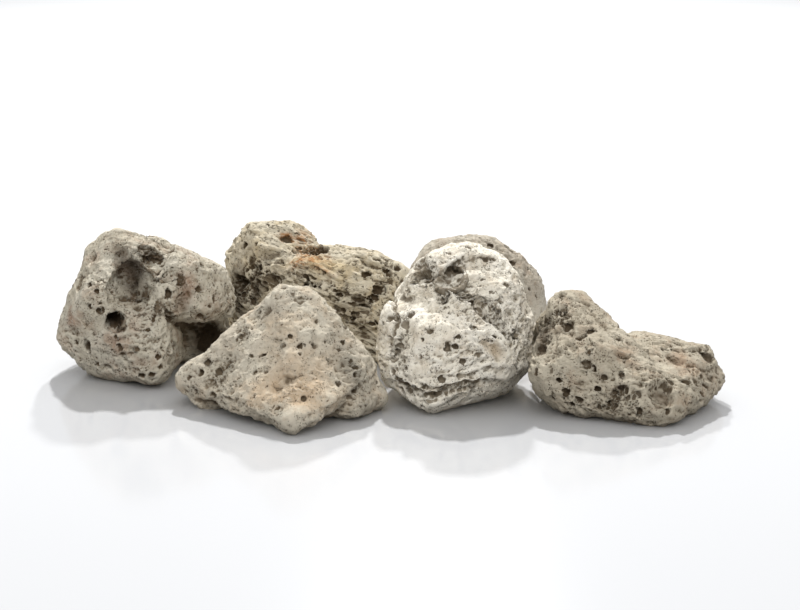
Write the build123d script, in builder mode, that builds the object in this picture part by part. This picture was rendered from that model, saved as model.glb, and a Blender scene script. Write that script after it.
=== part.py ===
"""Six loose pumice stones for a pond or an aquarium, lying together on a flat surface.

The frame has +X to the right, +Y to the back and +Z up, with its origin on the resting surface
under the middle of the group. All sizes are in millimetres.

Each stone is made of one to three lumps. A lump is the hull of equal balls: its corners are the
balls' centres, and the hull's faces, edges and corners are rounded with the balls' radius.
A ball whose centre is one radius above the table touches it, so three or more such balls
give the stone a small flat, worn foot to rest on. Broken gas pockets are scooped out as spheres.
"""

import os

from build123d import *

# Rounding radius of each stone: large on tumbled stones, small on broken ones
CRATERED_ROUND = 7
WEDGE_ROUND = 4
STREAKED_ROUND = 7
PALE_ROUND = 8
DOMED_ROUND = 10
SADDLE_ROUND = 6

# Where each stone lies: the middle of its footprint
CRATERED_PLACE = (-91.5, 6.5)
WEDGE_PLACE = (-34.5, -37)
STREAKED_PLACE = (-24.5, 27.5)
PALE_PLACE = (24.5, -20)
DOMED_PLACE = (33.5, 47)
SADDLE_PLACE = (81.5, -32)


def lump(corners, radius):
    """A rounded convex lump: the hull of equal balls centred on the corners."""
    with BuildPart() as rounded:
        ConvexPolyhedron(corners)
        offset(amount=radius, kind=Kind.ARC)
    return rounded.part


def cratered_stone():
    """A block with a deep crater high on its front, a lobe that juts out to the right, and a heel."""
    r = CRATERED_ROUND
    block = [
        (11, -21, r), (-8, -10, r), (-9, 12, r), (8, 16, r), (14, 2, r),
        (-17.5, -3, 14), (-12.5, -4, 27), (-8, 2, 39), (-3, 2, 43), (5, 4, 40),
        (-6, -15, 30), (10, -18, 24), (8, -10, 38),
        (-8, 15, 36), (8, 16, 34), (-14, 12, 18), (13, 14, 18),
    ]
    lobe = [
        (9, -6, 39), (10, 8, 40), (24, -6, 36), (30, 0, 32), (33, 0, 24),
        (28, -8, 26), (22, 8, 32), (10, -14, 28), (12, 8, 24),
    ]
    heel = [
        (8, 6, r), (29, 9, r), (29, 15, 9), (12, 17, r), (27, 10, 20), (10, 10, 24), (24, 15, 22),
    ]
    crater, upper_shelf, lower_lip, drop_hole = (
        ((5.5, -24, 36), 10.5), ((13, -15, 46), 6), ((9, -26, 28), 6), ((-1, -23, 23), 3.5),
    )
    with BuildPart() as stone:
        with Locations(CRATERED_PLACE):
            add(lump(block, r))
            add(lump(lobe, r))
            add(lump(heel, r))
            for middle, radius in (crater, upper_shelf, lower_lip, drop_hole):
                with Locations(middle):
                    Sphere(radius, mode=Mode.SUBTRACT)
    return stone


def wedge_stone():
    """A wedge with a flat sloping front that ends in a toe, on a broader base."""
    r = WEDGE_ROUND
    front = [
        (1, 3, 37), (8, 4, 37), (6, -30, r), (4, -25, 8), (-15, -8, 9), (-6, -17, 7),
        (21, -15, 9), (27, -3, 17), (0, 14, 10), (20, 10, 10), (-15, 8, 10), (-31, 0, 8),
    ]
    base = [
        (-32, 0, 8), (-30, 7, 6), (-24, -1, r), (-5, -4, r), (32, -5, r), (25, -15, r), (27, -1, 16),
        (20, 20, r), (-18, 20, r), (0, 12, 34), (-14, 8, 20), (18, 14, 22), (5, 22, 20),
    ]
    with BuildPart() as stone:
        with Locations(WEDGE_PLACE):
            add(lump(front, r))
            add(lump(base, r))
    return stone


def streaked_stone():
    """A long stone that lies at an angle: a peak on the left, a low shoulder and a hollow in it."""
    r = STREAKED_ROUND
    peak = [
        (-26, 8, r), (-24, 22, r), (-6, -12, r), (-27, 12, 31), (-21, 8, 40), (-12, 8, 41),
        (-10, 14, 38), (-13, -4, 29), (-26, 4, 22), (-14, 20, 29), (-8, 18, r), (0, 6, 32),
    ]
    shoulder = [
        (-12, 0, r), (22, -14, r), (26, -6, r), (6, 12, r), (21, -10, 33), (27, -6, 30),
        (-4, 2, 34), (-6, -8, 28), (20, -16, 24), (16, 2, 32), (28, -8, 16),
    ]
    recess, recess_radius = (16, -23.5, 19.5), 4
    with BuildPart() as stone:
        with Locations(STREAKED_PLACE):
            add(lump(peak, r))
            add(lump(shoulder, r))
            with Locations(recess):
                Sphere(recess_radius, mode=Mode.SUBTRACT)
    return stone


def pale_stone():
    """The tallest stone: a round-shouldered block with a crease and a hollow under its crown."""
    r = PALE_ROUND
    body = [
        (-9, -24, r), (-18, -11, 11), (12, -9, r), (16, 6, r), (-12, 12, r), (8, 14, r),
        (-19.5, -6, 17), (-18, -8, 26), (-2, -19, 24), (12, -17, 24), (12, -17, 14),
        (20, 0, 22), (20, 0, 13), (-12, 12, 30), (16, 13, 18), (-14, 14, 14), (17, 2, 29),
        (15, 12, 27), (12, -10, 32), (-5, 15, 24),
    ]
    crown = [
        (-11, 0, 37), (-6, -2, 42), (2, 2, 44), (11, 2, 41), (15, 0, 37), (0, -12, 36),
        (12, -10, 32), (8, 14, 36), (-8, 10, 36), (17, 2, 29), (15, 12, 27), (-14, 1, 29),
        (-13, 9, 26), (13, -12, 26), (-3, -14, 27),
    ]
    hollow, hollow_radius = (-0.5, -13, 48), 4.5
    with BuildPart() as stone:
        with Locations(PALE_PLACE):
            add(lump(body, r))
            add(lump(crown, r))
            with Locations(hollow):
                Sphere(hollow_radius, mode=Mode.SUBTRACT)
    return stone


def domed_stone():
    """A smooth dome, broader than it is tall."""
    r = DOMED_ROUND
    dome = [
        (-15, -7, r), (-14, 10, r), (-4, 14, r), (10, 14, r), (15, -8, r), (-4, -14, r),
        (-17, 0, 15), (6, -14, 14), (17, 4, 14), (-16, -3, 21), (-11, 0, 28), (-4, -4, 30),
        (3, -3, 30), (11, -2, 25), (17, 0, 18), (0, 14, 23), (-10, 10, 22), (9, 11, 21),
        (-2, -13, 20), (-11, -10, 19), (9, -10, 20), (4, 6, 28), (17, -5, 12),
    ]
    with BuildPart() as stone:
        with Locations(DOMED_PLACE):
            add(lump(dome, r))
    return stone


def saddle_stone():
    """A stone with a peak and a flank on the left, a saddle, and a long low shoulder with a recess."""
    r = SADDLE_ROUND
    peak = [
        (-27, -12, 13), (-26, -9, 8), (-20, -14, r), (-14, -17, r), (-2, -21, r), (10, -25, r),
        (-22, 12, 10), (-12, 22, r), (0, 20, 8), (-21, 9, 30), (-16, 10, 30), (-11, 6, 25),
        (-15, 20, 22), (-12, -14, 19), (5, -17, 13),
    ]
    shoulder = [
        (-8, -8, 16), (0, 2, 17), (14, 2, 15), (25, 1, 13), (28.5, 0, 8), (22, -11, r),
        (12, -24, r), (24, 12, 7), (10, 20, r), (8, 14, 15), (0, -16, 10), (0, 14, r),
    ]
    flank = [
        (-25, 24, 11), (-24.5, 23, 17), (-20, 11, 27), (-20, 13, 12), (-12, 22, r), (-15, 20, 22),
        (-16, 12, 29), (-20, 20, 8),
    ]
    recess, recess_radius = (9.5, -28.5, 14), 5
    with BuildPart() as stone:
        with Locations(SADDLE_PLACE):
            add(lump(peak, r))
            add(lump(flank, r))
            add(lump(shoulder, r))
            with Locations(recess):
                Sphere(recess_radius, mode=Mode.SUBTRACT)
    return stone


STONES = {
    "cratered_stone": cratered_stone,
    "wedge_stone": wedge_stone,
    "streaked_stone": streaked_stone,
    "pale_stone": pale_stone,
    "domed_stone": domed_stone,
    "saddle_stone": saddle_stone,
}

os.makedirs("parts", exist_ok=True)
for name, make in STONES.items():
    stone = make()
    stone.part.label = name
    export_step(stone.part, f"parts/{name}.step")
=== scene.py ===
"""Looks for six loose pumice stones that lie in a group on a glossy white table.

Each stone is grown from its CAD node. A cube's grid is cast onto the node, evened out and worn by
smoothing. Then its points are moved, by broad swells, by hollows, ledges, grooves and pits in set places,
and by its grain: torn relief, and gas pockets cut open by the surface. Lengths in the mesh work are in
millimetres, and Blender's are in metres.

A place on a stone is given as the camera sees it: u runs from the stone's left end (0) to its right
end (1), and w from its lowest visible point (0) to its highest (1).
"""
import math
from itertools import product

import bpy
import numpy as np
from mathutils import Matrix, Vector
from mathutils.bvhtree import BVHTree


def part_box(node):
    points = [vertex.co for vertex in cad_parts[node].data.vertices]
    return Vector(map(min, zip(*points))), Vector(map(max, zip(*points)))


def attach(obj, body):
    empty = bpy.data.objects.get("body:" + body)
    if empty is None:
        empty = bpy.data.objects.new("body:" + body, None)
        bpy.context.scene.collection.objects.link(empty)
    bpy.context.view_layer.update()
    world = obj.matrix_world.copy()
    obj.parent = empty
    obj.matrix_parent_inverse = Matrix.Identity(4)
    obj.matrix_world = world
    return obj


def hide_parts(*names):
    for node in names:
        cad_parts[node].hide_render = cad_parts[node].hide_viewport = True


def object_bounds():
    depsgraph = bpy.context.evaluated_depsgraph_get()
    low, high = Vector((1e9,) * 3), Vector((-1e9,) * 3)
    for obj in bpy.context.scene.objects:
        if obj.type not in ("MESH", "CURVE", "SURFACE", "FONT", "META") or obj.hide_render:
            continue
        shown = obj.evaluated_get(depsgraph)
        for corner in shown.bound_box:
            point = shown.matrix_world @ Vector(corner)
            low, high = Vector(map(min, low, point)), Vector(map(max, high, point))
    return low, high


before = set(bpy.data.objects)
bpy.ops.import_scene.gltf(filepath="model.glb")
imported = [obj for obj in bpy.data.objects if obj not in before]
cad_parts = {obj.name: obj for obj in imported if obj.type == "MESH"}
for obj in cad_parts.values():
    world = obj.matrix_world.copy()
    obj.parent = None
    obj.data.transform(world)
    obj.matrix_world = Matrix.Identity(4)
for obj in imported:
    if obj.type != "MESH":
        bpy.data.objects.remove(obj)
cad_low, cad_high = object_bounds()

MM = 0.001
VIEW_TILT = math.radians(15)
SIGHT = np.array([0, math.cos(VIEW_TILT), -math.sin(VIEW_TILT)])
SIGHT_UP = np.array([0, math.sin(VIEW_TILT), math.cos(VIEW_TILT)])
RIGHT = np.array([1.0, 0.0, 0.0])

# a stone's lattice is doubled from the coarse grid, which gives the full one
COARSE_GRID = 32
FULL_GRID = 128
DOUBLINGS = 2
# at each fineness, how many times the points are evened out on the node
ROUNDS = (10, 2, 1)
LAST_WEAR = 3
# the empty rim of each chart in the UV layer, as a share of the chart
CHART_MARGIN = 0.02
# further than any stone is wide
FAR = 200.0
# the width of a ledge's drop
LEDGE_WALL = 1.0
# no pocket opens below this height, so that the foot stays flat
FOOT = 0.3
# how much a pocket's outline is bent, in cells of its grid
BEND = 0.38
# the dark one is mostly painted shade
STAINS_AND_SHADE = ("rust", "tan", "dark")


def placed(name, data):
    """A new object in the scene that holds some data."""
    made = bpy.data.objects.new(name, data)
    bpy.context.scene.collection.objects.link(made)
    return made


# ---------------------------------------------------------------- grids on a stone


def cube_lattice(n):
    """Numbers and whole-number corners of the points of a cube whose six sides are cut n by n."""
    a, b = np.meshgrid(np.arange(n + 1), np.arange(n + 1), indexing="ij")
    near, far = np.zeros_like(a), np.full_like(a, n)
    sides = [(far, a, b), (near, b, a), (b, far, a), (a, near, b), (a, b, far), (b, a, near)]
    corners = np.stack([np.stack(side, -1) for side in sides])
    key = (corners[..., 0] * (n + 1) + corners[..., 1]) * (n + 1) + corners[..., 2]
    _, first, number = np.unique(key, return_index=True, return_inverse=True)
    return number.reshape(key.shape), corners.reshape(-1, 3)[first]


def lattice_quads(number):
    """The quads of a numbered lattice, turning outward."""
    parts = [number[:, :-1, :-1], number[:, 1:, :-1], number[:, 1:, 1:], number[:, :-1, 1:]]
    return np.stack(parts, -1).reshape(-1, 4)


def lattice_uv(n):
    """A corner-by-corner atlas of the six sides, three across and two up."""
    side, i, j = np.meshgrid(np.arange(6), np.arange(n), np.arange(n), indexing="ij")
    room = 1 - 2 * CHART_MARGIN
    uv = []
    for di, dj in ((0, 0), (1, 0), (1, 1), (0, 1)):
        across = (side % 3 + CHART_MARGIN + room * (i + di) / n) / 3
        up = (side // 3 + CHART_MARGIN + room * (j + dj) / n) / 2
        uv.append(np.stack([across, up], -1))
    return np.stack(uv, -2).reshape(-1, 2)


def doubled(points, n):
    """The same surface on a lattice twice as fine, with the new points halfway between the old."""
    number, _ = cube_lattice(n)
    grid = points[number]
    fine = np.zeros((6, 2 * n + 1, 2 * n + 1, 3))
    fine[:, ::2, ::2] = grid
    fine[:, 1::2, ::2] = (grid[:, :-1] + grid[:, 1:]) / 2
    fine[:, :, 1::2] = (fine[:, :, :-1:2] + fine[:, :, 2::2]) / 2
    fine_number, fine_corners = cube_lattice(2 * n)
    result = np.zeros((len(fine_corners), 3))
    result[fine_number.ravel()] = fine.reshape(-1, 3)
    return result


def quad_edges(quads):
    """Each edge of the quads once."""
    pairs = np.concatenate([quads[:, [k, (k + 1) % 4]] for k in range(4)])
    return np.unique(np.sort(pairs, axis=1), axis=0)


def relaxed(points, edges, times, share):
    """Points moved part of the way to the middle of their neighbours, some number of times."""
    n = len(points)
    neighbours = np.bincount(edges.ravel(), minlength=n)[:, None]
    for _ in range(times):
        total = np.zeros_like(points)
        for axis in range(3):
            total[:, axis] += np.bincount(edges[:, 0], points[edges[:, 1], axis], n)
            total[:, axis] += np.bincount(edges[:, 1], points[edges[:, 0], axis], n)
        points = points + share * (total / neighbours - points)
    return points


def worn(points, edges, times):
    """Points smoothed without shrinking, by a step in and a slightly longer step out."""
    for _ in range(times):
        points = relaxed(points, edges, 1, 0.5)
        points = relaxed(points, edges, 1, -0.52)
    return points


def point_normals(points, quads):
    """Unit normal at each point."""
    a, b, c, d = (points[quads[:, k]] for k in range(4))
    face = np.cross(c - a, d - b)
    total = np.zeros_like(points)
    for k in range(4):
        for axis in range(3):
            total[:, axis] += np.bincount(quads[:, k], face[:, axis], len(points))
    return total / np.linalg.norm(total, axis=1, keepdims=True)


def smoothstep(t):
    t = np.clip(t, 0, 1)
    return t * t * (3 - 2 * t)


# ---------------------------------------------------------------- noise

LOTS = np.random.default_rng(5)
SHUFFLE = LOTS.permutation(256)
SLOPES = LOTS.normal(size=(256, 3))
SLOPES /= np.linalg.norm(SLOPES, axis=1, keepdims=True)
DRAWS = LOTS.random((256, 5))
SEED_STEP = np.array([17.3, -5.1, 11.7])


def hashed(cells):
    """A number from 0 to 255 for each cell of a whole-number grid."""
    x, y, z = (cells[:, axis] & 255 for axis in range(3))
    return SHUFFLE[(SHUFFLE[(SHUFFLE[x] + y) & 255] + z) & 255]


def gradient_noise(places):
    """Smooth noise of about -1 to 1, with swells about one unit across."""
    base = np.floor(places).astype(int)
    part = places - base
    fade = part**3 * (part * (part * 6 - 15) + 10)
    total = np.zeros(len(places))
    for corner in product((0, 1), repeat=3):
        slope = SLOPES[hashed(base + corner)]
        share = np.prod(np.where(corner, fade, 1 - fade), axis=1)
        total += share * ((part - corner) * slope).sum(axis=1)
    return 1.6 * total


def squeezing(along, stretch):
    """The matrix that shortens one direction, so that what is made after it is stretched there."""
    direction = np.array(along, float) / np.linalg.norm(along)
    return np.eye(3) - np.outer(direction, direction) * (1 - 1 / stretch)


def swells(points, wavelength, octaves=1, seed=0, along=(1, 0, 0), stretch=1.0):
    """Noise at each point, its swells lengthened by stretch in one direction."""
    places = points @ squeezing(along, stretch) / wavelength + SEED_STEP * seed
    return sum(0.5**k * gradient_noise(places * 2**k) for k in range(octaves))


def pocket_depths(points, normals, bend, cell, sizes, crowding, seed, along, stretch):
    """How deep gas pockets lie open at each point: spheres, at most one in each cell of a grid, cut by
    the surface. bend is how far each point is shifted before it is tested, which makes their outlines
    irregular. sizes are the least and greatest radius as shares of a cell, and crowding is the share
    of cells that hold one."""
    squeeze = squeezing(along, stretch) / cell
    places = (points + bend) @ squeeze + SEED_STEP * seed
    inward = -(normals @ squeeze)
    speed = (inward**2).sum(axis=1)
    base = np.floor(places).astype(int)
    deepest = np.zeros(len(points))
    for shift in product((-1, 0, 1), repeat=3):
        number = hashed(base + shift)
        draw = DRAWS[number]
        radius = sizes[0] + (sizes[1] - sizes[0]) * draw[:, 3] ** 2
        offset = places - (base + shift + draw[:, :3])
        inside = radius**2 - (offset**2).sum(axis=1)
        open_here = np.flatnonzero((inside > 0) & (draw[:, 4] < crowding))
        drift = (offset[open_here] * inward[open_here]).sum(axis=1)
        pace = speed[open_here]
        depth = (np.sqrt(drift**2 + pace * inside[open_here]) - drift) / pace
        deepest[open_here] = np.maximum(deepest[open_here], depth)
    return deepest


class Rock:
    """A stone's surface while it is shaped. At each point it keeps how much was cut away, how open the
    ground is to pockets and tears (1 unless it was smoothed), and the strength of each of its stains, of
    which the dark one is mostly painted shade. A number added to its seed only keeps one use of noise apart
    from the others."""

    def __init__(self, node, seed, heart=(0.5, 0.5, 0.5), wear=6):
        """heart is the place inside the stone, as shares of its box, that all its surface can see, and
        wear is how much the coarser lattices are smoothed."""
        self.node = node
        self.seed = seed
        self.random = np.random.default_rng(seed)
        low, high = (np.array(corner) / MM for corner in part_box(node))
        points = self._cast(low + (high - low) * np.array(heart))
        n = COARSE_GRID
        for step in range(DOUBLINGS + 1):
            if step:
                points = doubled(points, n)
                n *= 2
            quads = lattice_quads(cube_lattice(n)[0])
            edges = quad_edges(quads)
            for _ in range(ROUNDS[step]):
                points = self._snapped(relaxed(points, edges, 4, 0.5))
            points = worn(points, edges, LAST_WEAR if n == FULL_GRID else wear)
        self.n, self.points, self.quads, self.edges = n, points, quads, edges
        self.cut = np.zeros(len(points))
        self.open = np.ones(len(points))
        self.stains = {name: np.zeros(len(points)) for name in STAINS_AND_SHADE}
        self.evened()

    def _node_tree(self):
        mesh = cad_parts[self.node].data
        corners = [v.co / MM for v in mesh.vertices]
        return BVHTree.FromPolygons(corners, [list(p.vertices) for p in mesh.polygons])

    def _cast(self, heart):
        """The coarse lattice, cast from outside onto the node towards its heart."""
        self.node_tree = self._node_tree()
        _, corners = cube_lattice(COARSE_GRID)
        across = np.tan((corners / COARSE_GRID * 2 - 1) * math.pi / 4)
        outward = across / np.linalg.norm(across, axis=1, keepdims=True)
        found = []
        for direction in outward:
            hit = self.node_tree.ray_cast(Vector(heart + FAR * direction), Vector(-direction))
            found.append(hit[0][:])
        return np.array(found)

    def _snapped(self, points):
        """Points moved to the nearest place on the node."""
        return np.array([self.node_tree.find_nearest(p)[0][:] for p in points])

    def evened(self):
        """Brings the normals and the search tree up to date after shaping."""
        self.normals = point_normals(self.points, self.quads)
        self.tree = BVHTree.FromPolygons(self.points.tolist(), self.quads.tolist())
        heights = self.points @ SIGHT_UP
        self.seen_low, self.seen_high = heights.min(), heights.max()
        self.left, self.right = self.points[:, 0].min(), self.points[:, 0].max()

    # ------------------------------------------------------------ places

    def spot(self, u, w):
        """Place and normal on the front, at a share u of the way across and w of the way up."""
        x = self.left + u * (self.right - self.left)
        up = self.seen_low + w * (self.seen_high - self.seen_low)
        depth = self.points.mean(axis=0) @ SIGHT
        seen = RIGHT * x + SIGHT_UP * up + SIGHT * depth
        hit = self.tree.ray_cast(Vector(seen - SIGHT * FAR), Vector(SIGHT))
        if hit[0] is None:
            hit = self.tree.find_nearest(Vector(seen))
        return np.array(hit[0]), np.array(hit[1])

    def _oval(self, place, normal, wide, tall, lean, ragged):
        """The points near an oval, and how far each is from its middle, in shares of its radius."""
        across = RIGHT - normal * (RIGHT @ normal)
        if np.linalg.norm(across) < 0.2:
            across = np.array([0.0, 1.0, 0.0]) - normal * normal[1]
        across /= np.linalg.norm(across)
        up = np.cross(normal, across)
        c, s = math.cos(math.radians(lean)), math.sin(math.radians(lean))
        across, up = across * c + up * s, up * c - across * s
        offset = self.points - place
        reach = 0.9 * max(wide, tall)
        near = np.flatnonzero((np.abs(offset) < reach).all(axis=1) & (self.normals @ normal > -0.2))
        offset = offset[near]
        share = np.hypot(offset @ across / (wide / 2), offset @ up / (tall / 2))
        if ragged:
            size = (wide + tall) / 2
            share = share + ragged * swells(self.points[near], 0.5 * size, 4, self.seed)
        return near, share

    def _line(self, places):
        """How far each point is from a line through some places, and how far to its right."""
        spots = [self.spot(u, w) for u, w in places]
        nearest = np.full(len(self.points), FAR)
        rightward = np.zeros(len(self.points))
        for (start, facing), (end, _) in zip(spots, spots[1:]):
            run = end - start
            t = np.clip((self.points - start) @ run / (run @ run), 0, 1)
            offset = self.points - start - np.outer(t, run)
            gap = np.linalg.norm(offset, axis=1)
            right = np.cross(run, facing)
            closer = gap < nearest
            nearest[closer] = gap[closer]
            rightward[closer] = (offset @ right)[closer] / np.linalg.norm(right)
        return nearest, rightward

    # ------------------------------------------------------------ shaping

    def sink(self, near, sunk, inward=None, brown=1.0):
        """Moves points inward, each along its own normal unless one direction is given for all, and
        counts brown times that as cut away."""
        if inward is None:
            inward = -self.normals[near]
        self.points[near] += sunk[:, None] * inward
        self.cut[near] += brown * np.maximum(sunk, 0)

    def swell(self, wavelength, height, octaves=2, along=(1, 0, 0), stretch=1.0):
        """Unevenness all over."""
        rise = swells(self.points, wavelength, octaves, self.seed, along, stretch)
        self.points = self.points + self.normals * (height * rise)[:, None]

    def press(self, place, normal, wide, tall, depth, lean=0, wall=0.6, ragged=0.2, brown=1.0):
        """An oval hollow, turned by lean degrees. wall is the share of its radius taken by its sides,
        and ragged how broken its outline is. A negative depth raises a bump."""
        near, share = self._oval(place, normal, wide, tall, lean, ragged)
        self.sink(near, depth * smoothstep((1 - share) / wall), -normal, brown)

    def hollow(self, u, w, wide, tall, depth, **shape):
        """An oval hollow at a place on the front."""
        self.press(*self.spot(u, w), wide, tall, depth, **shape)

    def pits(self, *pits):
        """Small steep holes, each given as u, w, width, height and depth."""
        for u, w, wide, tall, depth in pits:
            self.press(*self.spot(u, w), wide, tall, depth, wall=0.5, ragged=0.4)

    def groove(self, places, width, depth, ragged=0.4, brown=1.0):
        """A furrow that runs through some places, its width and depth uneven."""
        nearest, _ = self._line(places)
        near = np.flatnonzero(nearest < 1.5 * width)
        uneven = swells(self.points[near], 1.6 * width, 3, self.seed)
        share = nearest[near] / (width / 2) + ragged * uneven
        self.sink(near, depth * smoothstep((1 - share) / 0.8), brown=brown)

    def ledge(self, places, width, depth, ragged=0.5, brown=0.3):
        """A broken step along a line: the ground drops to its right, and rises again over width. With a
        negative depth it stands up there."""
        nearest, rightward = self._line(places)
        near = np.flatnonzero(nearest < width)
        uneven = ragged * swells(self.points[near], 3.0, 3, self.seed)
        edge = smoothstep((rightward[near] + uneven) / LEDGE_WALL)
        self.sink(near, depth * edge * smoothstep(1 - nearest[near] / width), brown=brown)

    def roughen(self, u, w, wide, tall, height, wavelength, lean=0, brown=1.0):
        """Torn, uneven ground inside an oval."""
        place, normal = self.spot(u, w)
        near, share = self._oval(place, normal, wide, tall, lean, 0.3)
        torn = np.abs(swells(self.points[near], wavelength, 4, self.seed + 5))
        self.sink(near, height * torn * smoothstep((1 - share) / 0.5), brown=brown)

    def stain_and_shade(self, name, u, w, wide, tall, strength=1.0, lean=0, ragged=0.5):
        """Adds to the strength of one of the stains inside an oval with a soft, broken edge. The dark one
        is mostly painted shade.
        """
        place, normal = self.spot(u, w)
        near, share = self._oval(place, normal, wide, tall, lean, ragged)
        self.stains[name][near] += strength * smoothstep((1 - share) / 0.9)

    def smooth(self, u, w, wide, tall, left=0.3, lean=0):
        """Worn ground inside an oval, which keeps only a share of its pockets and torn relief."""
        place, normal = self.spot(u, w)
        near, share = self._oval(place, normal, wide, tall, lean, 0.3)
        kept = 1 - (1 - left) * smoothstep((1 - share) / 0.6)
        self.open[near] = np.minimum(self.open[near], kept)

    def scatter_hollows(self, count, size, depth):
        """Hollows of any size between two limits, on the sides and back, which the camera doesn't see."""
        hidden = np.flatnonzero((self.normals @ SIGHT > -0.1) & (self.points[:, 2] > 4))
        for point in self.random.choice(hidden, count, replace=False):
            wide, tall = self.random.uniform(*size, 2)
            self.press(
                self.points[point].copy(), self.normals[point].copy(), wide, tall,
                self.random.uniform(*depth), lean=self.random.uniform(0, 180),
                wall=self.random.uniform(0.4, 1.0), ragged=0.35,
            )

    def pockets(self, cell, sizes, crowding, along, stretch, depth=1.0, brown=1.0):
        """Gas pockets cut open by the surface, with ragged rims, crowded together in patches."""
        patch = swells(self.points, 8.0, 2, self.seed + 31)
        share = self.open * crowding * np.clip(1 + 1.8 * patch, 0, 2.5)
        share[self.points[:, 2] < FOOT] = 0
        seed = self.seed + round(10 * cell)
        bend = [swells(self.points, 0.6 * cell, 2, seed + axis) for axis in range(3)]
        bend = np.stack(bend, axis=1) * BEND * cell
        opened = pocket_depths(
            self.points, self.normals, bend, cell, sizes, share, seed, along, stretch
        )
        self.sink(slice(None), depth * opened, brown=brown)

    def tear(self, wavelength, depth, along, stretch):
        """Crumbled relief all over, with sharp crests and broad dips, deeper in some patches."""
        patch = swells(self.points, 14.0, 2, self.seed + 57)
        torn = np.abs(swells(self.points, wavelength, 4, self.seed + 9, along, stretch))
        sunk = self.open * depth * torn * np.clip(1 + 1.2 * patch, 0.1, 2)
        self.sink(slice(None), sunk, brown=0.35)

    def weather(self, pitted, torn, along=(1, 0, 0), stretch=1.5):
        """The stone's grain: shallow dimples, torn relief and gas pockets of three sizes. pitted is
        how crowded the pockets are, and torn how deep the relief is."""
        self.evened()
        self.pockets(8.0, (0.10, 0.42), 0.4, along, stretch, depth=0.3, brown=0.3)
        self.pockets(4.0, (0.08, 0.30), 0.5 * pitted, along, stretch)
        self.tear(4.0, torn, along, stretch)
        self.swell(2.2, 0.18 + 0.08 * torn, 4, along, stretch)
        self.pockets(2.0, (0.12, 0.38), pitted, along, stretch)
        self.pockets(1.15, (0.20, 0.45), pitted, along, stretch)

    def _hollowness(self, times):
        """How far each point lies below the middle of its surroundings, which are wider the more times
        they are evened out."""
        times = max(1, round(times * (self.n / FULL_GRID) ** 2))
        middle = relaxed(self.points, self.edges, times, 0.5)
        return ((middle - self.points) * point_normals(middle, self.quads)).sum(axis=1)

    # ------------------------------------------------------------ the finished piece

    def piece(self, material):
        """The stone as an object that rides on its body and stands for its CAD node."""
        self.points[:, 2] = np.maximum(self.points[:, 2], 0)
        name = self.node.replace("_stone", "_rock")
        mesh = bpy.data.meshes.new(name)
        mesh.from_pydata((self.points * MM).tolist(), [], self.quads.tolist())
        uv = mesh.uv_layers.new(name="OFBake")
        uv.data.foreach_set("uv", lattice_uv(self.n).astype(np.float32).ravel())
        # the dark field is mostly painted shade, and crease and dip drive painted shade and a painted
        # highlight in the material
        fields = {"cut": self.cut, **self.stains}
        fields["crease"] = self._hollowness(4)
        fields["dip"] = self._hollowness(28)
        for field, values in fields.items():
            attribute = mesh.attributes.new(field, "FLOAT", "POINT")
            attribute.data.foreach_set("value", values.astype(np.float32))
        mesh.shade_smooth()
        mesh.materials.append(material)
        rock = placed(name, mesh)
        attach(rock, self.node)
        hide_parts(self.node)
        return rock


# ---------------------------------------------------------------- pumice


def srgb(r, g, b):
    """A colour given as 0 to 255 screen values, as linear light."""
    linear = [((c / 255 + 0.055) / 1.055) ** 2.4 if c > 10 else c / 255 / 12.92 for c in (r, g, b)]
    return (*linear, 1.0)


# the dark stain's colour, used as painted shade and in places as the stone's own dark brown
BROWN_AND_PAINTED_SHADE = srgb(56, 46, 34)
CRYSTAL = srgb(70, 62, 52)
WHITE = srgb(226, 227, 229)


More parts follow.
